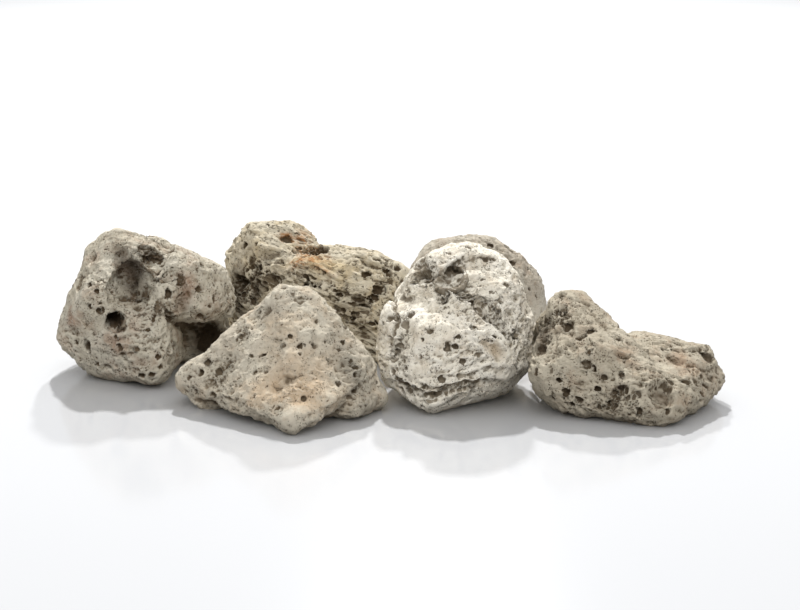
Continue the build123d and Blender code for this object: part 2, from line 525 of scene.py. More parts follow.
class Nodes:
    """Short ways to add and join shader nodes."""

    def __init__(self, material):
        material.use_nodes = True
        self.tree = material.node_tree
        self.shader = self.tree.nodes["Principled BSDF"]
        self.place = self.tree.nodes.new("ShaderNodeTexCoord").outputs["Object"]

    def plug(self, value, socket):
        """Joins an output to a socket, or sets the socket to a plain value."""
        if isinstance(value, bpy.types.NodeSocket):
            self.tree.links.new(value, socket)
        elif value is not None:
            socket.default_value = value

    def mapped(self, stretch, turn):
        """Object coordinates squeezed along a turned X axis, so that a texture runs along it."""
        node = self.tree.nodes.new("ShaderNodeMapping")
        node.vector_type = "TEXTURE"
        node.inputs["Rotation"].default_value = [math.radians(a) for a in turn]
        node.inputs["Scale"].default_value = (stretch, 1, 1)
        self.plug(self.place, node.inputs["Vector"])
        return node.outputs["Vector"]

    def noise(self, size_mm, detail=3, rough=0.5, distort=0.0, where=None):
        node = self.tree.nodes.new("ShaderNodeTexNoise")
        node.inputs["Scale"].default_value = 1 / (size_mm * MM)
        node.inputs["Detail"].default_value = detail
        node.inputs["Roughness"].default_value = rough
        node.inputs["Distortion"].default_value = distort
        self.plug(where or self.place, node.inputs["Vector"])
        return node.outputs["Fac"]

    def cells(self, size_mm, output="Distance", where=None):
        node = self.tree.nodes.new("ShaderNodeTexVoronoi")
        node.inputs["Scale"].default_value = 1 / (size_mm * MM)
        self.plug(where or self.place, node.inputs["Vector"])
        return node.outputs[output]

    def ramp(self, value, low, high, to_low=0.0, to_high=1.0):
        """value from low..high to to_low..to_high, smoothly and clamped."""
        node = self.tree.nodes.new("ShaderNodeMapRange")
        node.interpolation_type = "SMOOTHSTEP"
        for name, v in (("From Min", low), ("From Max", high), ("To Min", to_low), ("To Max", to_high)):
            self.plug(v, node.inputs[name])
        self.plug(value, node.inputs["Value"])
        return node.outputs["Result"]

    def math(self, operation, a, b):
        node = self.tree.nodes.new("ShaderNodeMath")
        node.operation = operation
        self.plug(a, node.inputs[0])
        self.plug(b, node.inputs[1])
        return node.outputs[0]

    def product(self, a, b):
        return self.math("MULTIPLY", a, b)

    def mix(self, share, a, b):
        """Colour a with a share of colour b over it."""
        node = self.tree.nodes.new("ShaderNodeMix")
        node.data_type = "RGBA"
        self.plug(share, node.inputs["Factor"])
        self.plug(a, node.inputs["A"])
        self.plug(b, node.inputs["B"])
        return node.outputs["Result"]

    def field(self, name):
        """A value that the mesh keeps at each of its points."""
        node = self.tree.nodes.new("ShaderNodeAttribute")
        node.attribute_name = name
        return node.outputs["Fac"]

    def bump(self, height, distance_mm, normal=None):
        node = self.tree.nodes.new("ShaderNodeBump")
        node.inputs["Distance"].default_value = distance_mm * MM
        self.plug(height, node.inputs["Height"])
        self.plug(normal, node.inputs["Normal"])
        return node.outputs["Normal"]


def pumice(name, light, body, shade, hollow, rust=None, tan=None, pores=0.5, stretch=1.0, turn=(0, 0, 0)):
    """Pumice, mottled with light, body and shade colours, of the hollow colour where it is cut, and with
    micro-pores and crystals. The hollow colour is partly painted shade where the stone is cut, and painted
    shade in creases, dips and micro-pores; raised edges carry a painted highlight of the light colour.
    pores is how much of the surface is open to micro-pores. stretch lengthens
    them along the X axis, turned by three angles in degrees."""
    material = bpy.data.materials.new(name)
    n = Nodes(material)
    grain = n.mapped(stretch, turn)
    cut, crease, dip = n.field("cut"), n.field("crease"), n.field("dip")

    # mottling, broad then fine
    clouds = n.noise(11, 4, 0.6, where=grain)
    colour = n.mix(n.ramp(clouds, 0.36, 0.64), body, light)
    blotches = n.noise(3.0, 5, 0.65, 0.4, where=grain)
    colour = n.mix(n.ramp(blotches, 0.52, 0.70, 0, 0.7), colour, shade)
    dusting = n.noise(0.8, 4, 0.7)
    colour = n.mix(n.ramp(dusting, 0.52, 0.68, 0, 0.6), colour, light)

    # tan and rust stains
    if tan:
        colour = n.mix(n.ramp(n.noise(7, 4, 0.65), 0.48, 0.68, 0, 0.45), colour, tan)
        colour = n.mix(n.product(n.field("tan"), n.ramp(blotches, 0.3, 0.6, 0.55, 1)), colour, tan)
    if rust:
        streaks = n.ramp(n.noise(1.6, 5, 0.65, 0.5, where=grain), 0.38, 0.62, 0.1, 1)
        colour = n.mix(n.product(n.field("rust"), streaks), colour, rust)

    # what is cut away is browner and darker, in a broken pattern, with painted shade in that brown; broad
    # dips and creases are painted shade, and raised edges get a painted highlight
    broken = n.ramp(n.noise(1.5, 4, 0.7, where=grain), 0.35, 0.65, 0.45, 1.4)
    colour = n.mix(n.ramp(n.product(cut, broken), 0.12, 1.5, 0, 0.85), colour, hollow)
    colour = n.mix(n.ramp(dip, 0.10, 0.70, 0, 0.5), colour, hollow)
    colour = n.mix(n.ramp(crease, 0.02, 0.18, 0, 0.65), colour, hollow)
    colour = n.mix(n.ramp(crease, -0.02, -0.14, 0, 0.5), colour, light)

    # micro-pores: small cells and ragged specks, open only in patches, darkened in the hollow colour as
    # painted shade inside them
    patches = n.noise(4.5, 3, 0.6, where=grain)
    threshold = n.ramp(patches, 0.35, 0.70, 0.12, 0.12 + 0.45 * pores)
    pore = n.ramp(n.math("SUBTRACT", threshold, n.cells(1.0, where=grain)), 0.0, 0.10)
    fine_pore = n.ramp(n.math("SUBTRACT", threshold, n.cells(0.55, where=grain)), 0.0, 0.12)
    specks = n.ramp(n.noise(0.75, 5, 0.75, where=grain), n.ramp(patches, 0.3, 0.7, 0.66, 0.55), 0.70)
    colour = n.mix(n.product(pore, 0.8), colour, hollow)
    colour = n.mix(n.product(fine_pore, 0.6), colour, hollow)
    colour = n.mix(n.product(specks, 0.8), colour, hollow)

    # the dark stain lies over all of that: painted shade, and in places the stone's own dark brown
    colour = n.mix(n.product(n.field("dark"), n.ramp(blotches, 0.3, 0.6, 0.9, 0.6)), colour, BROWN_AND_PAINTED_SHADE)

    # a few dark crystals
    chosen = n.ramp(n.cells(0.75, "Color"), 0.78, 0.80)
    dark = n.product(n.ramp(n.cells(0.75), 0.26, 0.20), chosen)
    colour = n.mix(n.product(dark, 0.7), colour, CRYSTAL)

    n.plug(colour, n.shader.inputs["Base Color"])
    n.plug(n.ramp(dusting, 0.3, 0.7, 0.82, 0.97), n.shader.inputs["Roughness"])
    n.plug(0.1, n.shader.inputs["Specular IOR Level"])

    # relief too fine for the mesh
    holes = n.product(n.math("MAXIMUM", n.math("MAXIMUM", pore, fine_pore), specks), -1.0)
    normal = n.bump(holes, 0.35)
    normal = n.bump(n.noise(0.6, 6, 0.75), 0.45, normal)
    normal = n.bump(n.noise(2.0, 4, 0.6, where=grain), 0.5, normal)
    n.plug(normal, n.shader.inputs["Normal"])
    return material


# ---------------------------------------------------------------- the stones


def cratered_stone():
    """A block with a deep brown crater, darkened with painted shade, a lobe over a cavity in painted shade
    and a valley between them.
    """
    rock = Rock("cratered_stone", 11, heart=(0.42, 0.5, 0.54))
    rock.swell(22, 1.1)
    rock.swell(8, 0.7, 3)
    rock.evened()
    # the crater, the torn shelf on its upper right and its torn lower lip
    rock.hollow(0.43, 0.69, 15, 17, 5.6, wall=0.75, ragged=0.06, brown=0.1)
    rock.hollow(0.39, 0.76, 8, 9, 2.0, wall=0.9, ragged=0.1, brown=0.3)
    rock.hollow(0.55, 0.84, 10, 8, 2.0, lean=-20, wall=0.5, ragged=0.3, brown=0.5)
    rock.hollow(0.59, 0.84, 4, 7, 1.8, wall=0.5, ragged=0.3, brown=0.6)
    rock.ledge([(0.66, 0.90), (0.63, 0.76), (0.59, 0.64), (0.54, 0.52)], 9, 2.2, brown=0.1)
    rock.roughen(0.54, 0.82, 13, 11, 1.4, 3.0, brown=0.4)
    rock.roughen(0.46, 0.56, 15, 7, 1.6, 2.4, lean=20, brown=0.6)
    # painted shade over the crater's own brown, in the crater and along its lower lip
    rock.stain_and_shade("dark", 0.43, 0.70, 16, 20, 0.75, ragged=0.15)
    rock.stain_and_shade("dark", 0.46, 0.68, 11, 14, 0.75, ragged=0.2)
    rock.stain_and_shade("dark", 0.46, 0.61, 16, 12, 0.6, ragged=0.3)
    rock.smooth(0.38, 0.74, 9, 12, 0.5)
    rock.smooth(0.29, 0.80, 9, 20)
    rock.smooth(0.38, 0.94, 18, 6)
    # more painted shade on the torn shelf and the lower lip
    rock.stain_and_shade("dark", 0.55, 0.84, 13, 10, 0.8, ragged=0.4)
    rock.stain_and_shade("dark", 0.47, 0.55, 15, 7, 0.4, lean=20)
    # the deep drop-shaped hole and the scoop under it
    rock.hollow(0.36, 0.42, 6.6, 6.6, 5.6, wall=0.5, ragged=0.12)
    # painted shade in the deep hole
    rock.stain_and_shade("dark", 0.36, 0.42, 6.8, 6.8, 1.6, ragged=0.1)
    rock.hollow(0.33, 0.37, 8.0, 4.0, 1.2, lean=15, wall=0.9, ragged=0.2, brown=0.1)
    rock.hollow(0.20, 0.24, 4.2, 5.0, 4.0, wall=0.4, ragged=0.3)
    # the left flank
    rock.hollow(0.22, 0.81, 4, 7, 1.2, wall=0.8, ragged=0.4)
    rock.hollow(0.15, 0.64, 4, 10, 2.0, wall=0.7, ragged=0.4)
    rock.hollow(0.12, 0.32, 9, 7, 1.3, wall=0.8, ragged=0.5, brown=0.5)
    # the valley, with a reddish hollow at its head, and painted shade at its foot
    rock.hollow(0.73, 0.54, 10, 16, 3.0, lean=12, wall=1, ragged=0.2, brown=0.3)
    rock.hollow(0.71, 0.67, 4.5, 5.5, 1.6, wall=0.8, ragged=0.3)
    rock.hollow(0.65, 0.42, 5, 7, 2.2, wall=0.6, ragged=0.5)
    rock.hollow(0.82, 0.42, 9, 4, 1.6, lean=-35, wall=0.8, ragged=0.4)
    rock.hollow(0.60, 0.50, 4, 8, 1.2, lean=-20, wall=0.8, ragged=0.5)
    # painted shade in the cavity under the lobe, on the lobe's underside and in the valley's hollows
    rock.stain_and_shade("dark", 0.84, 0.26, 24, 20, 2.2, ragged=0.1)
    rock.stain_and_shade("dark", 0.80, 0.37, 17, 7, 0.7, ragged=0.2)
    rock.stain_and_shade("dark", 0.88, 0.46, 14, 7, 0.25, lean=20)
    rock.stain_and_shade("dark", 0.74, 0.50, 10, 16, 0.4, lean=10, ragged=0.2)
    rock.stain_and_shade("dark", 0.71, 0.67, 4.5, 5.5, 0.3, ragged=0.2)
    rock.pits(
        (0.22, 0.63, 2.0, 3.0, 1.4), (0.27, 0.59, 1.8, 2.2, 1.0), (0.23, 0.49, 1.6, 2.2, 1.4),
        (0.28, 0.46, 1.7, 3.0, 1.4), (0.30, 0.47, 1.6, 3.0, 1.0), (0.39, 0.235, 3.0, 3.4, 1.6),
        (0.49, 0.23, 1.7, 1.7, 1.3), (0.60, 0.18, 2.4, 2.0, 1.6), (0.25, 0.13, 2.0, 1.6, 1.3),
        (0.62, 0.12, 2.0, 1.7, 1.3), (0.51, 0.06, 2.4, 1.6, 1.2), (0.57, 0.07, 3.8, 1.8, 1.6),
        (0.65, 0.57, 2.6, 4.0, 1.9), (0.61, 0.50, 2.0, 3.2, 1.4), (0.57, 0.42, 1.7, 2.4, 1.3),
        (0.82, 0.77, 2.4, 2.0, 1.4), (0.89, 0.54, 1.8, 2.4, 1.4), (0.87, 0.49, 2.2, 2.0, 1.4),
        (0.81, 0.61, 1.8, 2.4, 1.3), (0.77, 0.84, 2.0, 1.5, 1.2), (0.37, 0.30, 1.6, 1.6, 1.2),
        (0.54, 0.35, 2.2, 1.6, 1.4), (0.40, 0.19, 2.4, 1.8, 1.3), (0.70, 0.20, 1.8, 2.6, 1.5),
    )
    rock.scatter_hollows(22, (3, 10), (1.0, 3.0))
    rock.weather(pitted=0.34, torn=1.2)
    rock.stain_and_shade("tan", 0.74, 0.57, 12, 18, 1.0)
    rock.stain_and_shade("tan", 0.11, 0.40, 11, 11, 0.9)
    rock.stain_and_shade("tan", 0.41, 0.74, 11, 14, 0.6)
    rock.stain_and_shade("tan", 0.36, 0.27, 16, 12, 0.6)
    return rock.piece(pumice(
        "cratered_pumice", srgb(208, 201, 184), srgb(193, 184, 165), srgb(164, 152, 132),
        srgb(100, 84, 64), tan=srgb(166, 138, 117), pores=0.55,
    ))


def wedge_stone():
    """A smooth wedge, tan low on its front, with sparse dark pits and a torn hollow on its left."""
    rock = Rock("wedge_stone", 23, heart=(0.52, 0.55, 0.30), wear=8)
    rock.swell(20, 0.9)
    rock.swell(10, 0.9, 3)
    rock.evened()
    rock.hollow(0.59, 0.89, 5.5, 3, 0.9, ragged=0.7, brown=0.6)
    rock.hollow(0.32, 0.65, 6, 7, 1.0, ragged=0.5, brown=0.6)
    rock.hollow(0.42, 0.82, 6, 4, 0.8, ragged=0.5, brown=0.4)
    rock.hollow(0.52, 0.36, 18, 11, 2.2, wall=1, lean=20, brown=0)
    rock.hollow(0.46, 0.58, 16, 8, 1.6, wall=1, lean=25, brown=0)
    rock.hollow(0.62, 0.68, 9, 14, -1.6, wall=1, lean=20, brown=0)
    rock.hollow(0.50, 0.74, 12, 8, -1.2, wall=1, brown=0)
    rock.hollow(0.68, 0.28, 13, 12, -1.2, wall=1, brown=0)
    rock.hollow(0.80, 0.40, 9, 16, 1.4, wall=1, lean=30, brown=0)
    # the torn hollow on the left, over the edge of the foot
    rock.hollow(0.12, 0.18, 20, 11, -3.0, wall=1, brown=0)
    rock.hollow(0.24, 0.45, 18, 8, 2.2, wall=1, lean=30, ragged=0.3, brown=0.35)
    rock.hollow(0.18, 0.34, 10, 5, 1.5, wall=0.8, lean=20, ragged=0.5, brown=0.6)
    rock.ledge([(0.10, 0.20), (0.22, 0.26), (0.34, 0.20), (0.46, 0.10)], 6, 0.9, ragged=0.9, brown=0.5)
    rock.roughen(0.32, 0.65, 9, 9, 1.0, 1.8)
    rock.roughen(0.22, 0.38, 16, 10, 1.6, 2.2, lean=30)
    rock.roughen(0.12, 0.25, 12, 6, 1.2, 1.8)
    rock.ledge([(0.95, 0.42), (0.86, 0.30), (0.76, 0.20), (0.62, 0.10)], 7, -0.8, brown=0)
    rock.smooth(0.55, 0.78, 20, 12, 0.4)
    rock.smooth(0.40, 0.34, 16, 12, 0.4)
    # painted shade on the right foot and in the torn hollow on the left
    rock.stain_and_shade("dark", 0.88, 0.16, 16, 10, 0.65)
    rock.stain_and_shade("dark", 0.25, 0.40, 14, 6, 0.35, lean=28)
    rock.pits(
        (0.56, 0.93, 1.8, 1.5, 0.7), (0.55, 0.65, 1.5, 1.4, 1.1), (0.52, 0.59, 1.3, 1.4, 1.0),
        (0.60, 0.58, 2.0, 3.0, 2.0), (0.60, 0.53, 1.5, 1.7, 1.4), (0.66, 0.58, 3.0, 1.7, 1.5),
        (0.79, 0.60, 1.7, 2.2, 1.2), (0.77, 0.55, 1.2, 1.4, 1.1), (0.83, 0.48, 1.2, 1.5, 1.1),
        (0.85, 0.43, 2.2, 1.5, 1.5), (0.85, 0.39, 1.4, 2.2, 1.4), (0.77, 0.33, 1.7, 2.2, 1.4),
        (0.62, 0.24, 1.7, 1.6, 1.3), (0.37, 0.51, 2.2, 1.4, 1.4), (0.42, 0.52, 2.4, 1.6, 1.4),
        (0.39, 0.41, 1.3, 1.3, 1.1), (0.44, 0.41, 1.7, 1.7, 1.2), (0.16, 0.47, 1.8, 1.5, 1.2),
        (0.13, 0.40, 2.2, 3.4, 2.0), (0.07, 0.36, 1.7, 2.2, 1.2), (0.19, 0.24, 3.2, 2.0, 1.8),
        (0.10, 0.26, 2.7, 1.8, 1.6), (0.67, 0.74, 1.2, 1.8, 1.0), (0.50, 0.18, 1.6, 1.3, 1.1),
    )
    rock.scatter_hollows(16, (3, 9), (0.8, 2.4))
    rock.weather(pitted=0.2, torn=1.1)
    # painted shade on the right facet
    rock.stain_and_shade("dark", 0.83, 0.40, 17, 34, 0.6, lean=30, ragged=0.2)
    rock.stain_and_shade("tan", 0.58, 0.32, 46, 34, 0.7, ragged=0.7)
    rock.stain_and_shade("tan", 0.64, 0.27, 22, 18, 0.5, ragged=0.6)
    rock.stain_and_shade("tan", 0.40, 0.27, 22, 13, 0.9, ragged=0.6)
    rock.stain_and_shade("tan", 0.50, 0.70, 18, 14, 0.35, ragged=0.6)
    return rock.piece(pumice(
        "wedge_pumice", srgb(210, 202, 184), srgb(198, 188, 170), srgb(169, 159, 140),
        srgb(110, 96, 77), tan=srgb(203, 181, 153), pores=0.4,
    ))


def streaked_stone():
    """A long stone with its gas pores drawn out into streaks, and rust-orange stains."""
    grain = (0.93, -0.10, -0.33)
    rock = Rock("streaked_stone", 37, heart=(0.47, 0.45, 0.45))
    rock.swell(20, 1.0)
    rock.swell(6, 1.0, 4, along=grain, stretch=3)
    rock.evened()
    rock.hollow(0.33, 0.86, 5, 3.4, 1.8, ragged=0.3)
    rock.hollow(0.48, 0.79, 11, 5, 3.2, lean=-14, wall=0.6, ragged=0.5, brown=0.6)
    rock.hollow(0.26, 0.75, 12, 6, 2.2, lean=12, wall=0.9, brown=0.3)
    # painted shade in this hollow
    rock.stain_and_shade("dark", 0.25, 0.72, 12, 6, 0.3, lean=12)
    rock.hollow(0.16, 0.71, 5, 5, 1.6, ragged=0.5)
    rock.hollow(0.10, 0.55, 12, 10, 2.4, wall=0.9, ragged=0.4)
    rock.hollow(0.24, 0.58, 12, 7, 1.8, wall=0.9, ragged=0.5, lean=-15)
    rock.hollow(0.71, 0.43, 12, 5, 2.2, lean=-8, ragged=0.5, wall=0.8, brown=0.6)
    rock.hollow(0.79, 0.46, 5, 4.5, 2.0, ragged=0.5)
    rock.hollow(0.75, 0.32, 10, 8, -1.8, wall=1)
    rock.ledge([(0.56, 0.86), (0.70, 0.80), (0.84, 0.77), (0.95, 0.72)], 6, 1.2)
    rock.ledge([(0.50, 0.66), (0.62, 0.58), (0.74, 0.50), (0.86, 0.46)], 6, 1.0)
    rock.roughen(0.14, 0.55, 18, 18, 2.4, 3.0)
    rock.roughen(0.87, 0.67, 14, 13, 1.6, 2.6, brown=0.4)
    rock.roughen(0.46, 0.78, 14, 8, 1.8, 2.0, brown=0.4)
    rock.pits(
        (0.38, 0.77, 2.4, 2.4, 2.2), (0.12, 0.82, 2.6, 2.4, 1.7), (0.75, 0.62, 4.2, 2.2, 2.0),
        (0.81, 0.50, 3.8, 3.2, 2.6), (0.61, 0.47, 3.0, 2.2, 2.2), (0.68, 0.31, 2.4, 2.4, 1.8),
        (0.88, 0.73, 2.4, 2.4, 1.7), (0.91, 0.66, 2.6, 2.4, 1.7), (0.86, 0.63, 2.6, 2.2, 1.8),
        (0.20, 0.67, 2.6, 2.2, 1.8), (0.18, 0.82, 1.8, 1.6, 1.3), (0.63, 0.84, 3.0, 1.4, 1.4),
    )
    rock.smooth(0.22, 0.82, 26, 15, 0.2, lean=10)
    rock.smooth(0.08, 0.68, 16, 16)
    rock.smooth(0.60, 0.72, 16, 8, 0.4, lean=-10)
    for row in range(6):
        w = 0.70 - 0.07 * row
        start = 0.30 + 0.045 * row
        rock.groove([(start, w), (start + 0.12, w - 0.035), (start + 0.26, w - 0.09)], 2.0, 0.9, 1.0, 0.5)
    rock.scatter_hollows(22, (3, 10), (1.0, 2.6))
    # painted shade low on the left, under the hollows on the right and low in the middle
    rock.stain_and_shade("dark", 0.08, 0.52, 16, 24, 1.0)
    rock.stain_and_shade("dark", 0.20, 0.50, 14, 14, 0.8)
    rock.stain_and_shade("dark", 0.70, 0.40, 14, 6, 0.5, lean=-10)
    rock.stain_and_shade("dark", 0.62, 0.30, 20, 12, 0.4, lean=-30)
    rock.weather(pitted=0.28, torn=1.5, along=grain, stretch=2.4)
    rock.stain_and_shade("rust", 0.33, 0.86, 7, 6, 1.3)
    rock.stain_and_shade("rust", 0.46, 0.77, 17, 10, 1.1, lean=-20)
    rock.stain_and_shade("rust", 0.40, 0.70, 10, 7, 1.0)
    rock.stain_and_shade("rust", 0.94, 0.73, 6, 5, 0.6)
    rock.stain_and_shade("tan", 0.54, 0.70, 24, 12, 0.8, lean=-15)
    rock.stain_and_shade("tan", 0.17, 0.70, 12, 8, 0.5)
    return rock.piece(pumice(
        "streaked_pumice", srgb(214, 205, 184), srgb(193, 181, 158), srgb(152, 138, 114),
        srgb(84, 70, 52), rust=srgb(170, 122, 78), tan=srgb(202, 181, 140), pores=0.5,
        stretch=2.6, turn=(0, 20, -6),
    ))


def pale_stone():
    """The whitish stone: a hollow under a ledge, a torn band, a smooth tan recess, layered grooves."""
    rock = Rock("pale_stone", 41, heart=(0.5, 0.52, 0.48))
    rock.swell(22, 1.0)
    rock.swell(8, 0.7, 3)
    rock.evened()
    # the lower lump stands proud of a torn band, which parts it from the crown
    rock.hollow(0.34, 0.48, 32, 27, -2.6, wall=1, brown=0)
    rock.hollow(0.66, 0.90, 20, 9, -1.2, wall=1, brown=0)
    rock.ledge(
        [(0.80, 0.42), (0.68, 0.53), (0.58, 0.63), (0.46, 0.70), (0.33, 0.75), (0.20, 0.74), (0.09, 0.66)],
        14, 4.6, ragged=0.3, brown=0.08,
    )
    rock.roughen(0.56, 0.71, 14, 9, 1.6, 3.0, lean=-40, brown=0.7)
    rock.roughen(0.72, 0.60, 15, 13, 1.8, 3.0, brown=0.7)
    rock.roughen(0.86, 0.48, 10, 12, 1.2, 2.4, brown=0.7)
    # the hollow under the crown's ledge, which runs on to the left as a notch
    rock.ledge([(0.38, 0.80), (0.44, 0.87), (0.54, 0.91), (0.62, 0.91)], 9, 2.0, brown=0.1)
    rock.hollow(0.48, 0.84, 12, 7, 1.6, lean=28, wall=0.9, ragged=0.5, brown=0.5)
    rock.hollow(0.24, 0.83, 9, 4.5, 2.2, wall=0.8, ragged=0.3, brown=0.6)
    rock.roughen(0.42, 0.78, 15, 7, 1.6, 2.4, brown=0.6)
    # painted shade under the ledge, in the notch and along the torn band
    rock.stain_and_shade("dark", 0.46, 0.82, 12, 7, 0.35, lean=15)
    rock.stain_and_shade("dark", 0.30, 0.77, 14, 4, 0.3)
    rock.stain_and_shade("dark", 0.52, 0.70, 14, 5, 0.3, lean=-30)
    rock.stain_and_shade("dark", 0.72, 0.58, 18, 8, 0.3, lean=-45)
    # the smooth recess, with a sharp upper edge
    rock.ledge([(0.82, 0.36), (0.70, 0.44), (0.60, 0.50)], 7, 1.2, brown=0)
    rock.hollow(0.71, 0.38, 16, 6, 2.0, lean=-42, wall=0.9, ragged=0.1, brown=0)
    # the crease that runs down the left flank
    rock.ledge([(0.10, 0.36), (0.17, 0.46), (0.14, 0.56), (0.11, 0.66)], 7, 2.4, brown=0.2)
    rock.groove([(0.11, 0.68), (0.12, 0.60), (0.14, 0.53), (0.11, 0.46)], 3.0, 1.8)
    rock.hollow(0.09, 0.55, 4.5, 3, 2.0)
    rock.hollow(0.08, 0.40, 5, 7, 1.6, ragged=0.3, brown=0.3)
    rock.hollow(0.54, 0.66, 4, 2.5, 1.4, ragged=0.4)
    # layered grooves round the foot
    rock.groove([(0.10, 0.23), (0.14, 0.17), (0.22, 0.15), (0.31, 0.15)], 2.4, 1.8, 0.9, 0.6)
    rock.ledge([(0.12, 0.19), (0.28, 0.15), (0.42, 0.17), (0.54, 0.19), (0.66, 0.20), (0.90, 0.24)], 8, 1.6)
    rock.groove([(0.26, 0.10), (0.38, 0.11), (0.50, 0.13), (0.60, 0.14)], 2.4, 1.2, 1.2, 0.5)
    rock.ledge([(0.58, 0.25), (0.72, 0.27), (0.88, 0.31)], 3.5, 1.0)
    rock.groove([(0.14, 0.14), (0.17, 0.09)], 2.6, 1.6)
    rock.ledge([(0.24, 0.22), (0.40, 0.23), (0.56, 0.24)], 4, 0.7)
    rock.hollow(0.34, 0.10, 9, 4, 1.2, ragged=0.5, brown=0.5)
    rock.roughen(0.45, 0.12, 22, 8, 1.0, 2.4, brown=0.2)
    rock.roughen(0.16, 0.22, 9, 14, 1.2, 2.4, brown=0.4)
    # painted shade along the foot
    rock.stain_and_shade("dark", 0.52, 0.08, 30, 7, 0.25)
    rock.groove([(0.57, 0.97), (0.62, 0.93), (0.68, 0.89)], 1.8, 1.6)
    rock.roughen(0.40, 0.69, 7, 6, 1.3, 1.6)
    rock.pits(
        (0.34, 0.46, 3.4, 2.2, 1.9), (0.35, 0.50, 1.5, 1.5, 1.1), (0.44, 0.38, 2.4, 4.2, 2.1),
        (0.48, 0.39, 2.0, 2.0, 1.6), (0.50, 0.44, 1.8, 1.6, 1.2), (0.53, 0.30, 2.0, 1.8, 1.4),
        (0.40, 0.20, 2.6, 2.0, 1.2), (0.87, 0.30, 3.6, 1.6, 1.6), (0.87, 0.24, 2.2, 3.0, 1.8),
        (0.22, 0.57, 3.2, 2.2, 1.6), (0.30, 0.42, 1.8, 1.8, 1.2), (0.60, 0.50, 1.8, 1.6, 1.2),
        (0.90, 0.62, 2.2, 1.8, 1.3), (0.28, 0.33, 1.6, 1.4, 1.1), (0.62, 0.34, 2.0, 1.8, 1.4),
        (0.72, 0.97, 1.6, 1.2, 1.0), (0.45, 0.93, 1.6, 1.4, 1.0), (0.80, 0.75, 2.2, 1.8, 1.3),
        (0.37, 0.53, 1.4, 1.2, 1.0), (0.78, 0.66, 2.4, 1.6, 1.4), (0.66, 0.78, 2.0, 1.4, 1.2),
    )
    rock.smooth(0.33, 0.42, 18, 12, lean=20)
    rock.smooth(0.42, 0.94, 15, 5)
    rock.smooth(0.24, 0.24, 12, 7)
    rock.smooth(0.76, 0.78, 14, 11, 0.4)
    rock.scatter_hollows(24, (3, 10), (1.0, 2.8))
    rock.weather(pitted=0.26, torn=1.2, along=(0.95, 0, 0.2), stretch=1.8)
    rock.stain_and_shade("tan", 0.72, 0.37, 16, 8, 1.2, lean=-42, ragged=0.2)
    # painted shade low on the right
    rock.stain_and_shade("dark", 0.80, 0.22, 24, 12, 0.32, lean=15, ragged=0.3)
    rock.stain_and_shade("tan", 0.45, 0.14, 30, 6, 0.4)
    return rock.piece(pumice(
        "pale_pumice", srgb(249, 243, 229), srgb(240, 232, 215), srgb(214, 204, 184),
        srgb(128, 116, 97), tan=srgb(204, 187, 162), pores=0.5,
    ))


def domed_stone():
    """A fine-grained dome with sparse pits."""
    rock = Rock("domed_stone", 53, wear=8)
    rock.swell(24, 1.0)
    rock.swell(9, 0.6, 3)
    rock.evened()
    rock.pits(
        (0.60, 0.90, 2.2, 1.6, 1.3), (0.75, 0.75, 2.2, 1.8, 1.3), (0.87, 0.52, 2.0, 1.7, 1.3),
        (0.92, 0.46, 2.0, 1.6, 1.2), (0.22, 0.84, 2.0, 1.7, 1.2), (0.84, 0.64, 1.7, 1.5, 1.1),
    )
    rock.scatter_hollows(20, (2.5, 9), (0.8, 2.4))
    rock.weather(pitted=0.24, torn=0.9)
    return rock.piece(pumice(
        "domed_pumice", srgb(197, 190, 175), srgb(180, 170, 154), srgb(156, 145, 127),
        srgb(106, 92, 75), tan=srgb(170, 149, 128), pores=0.35,
    ))


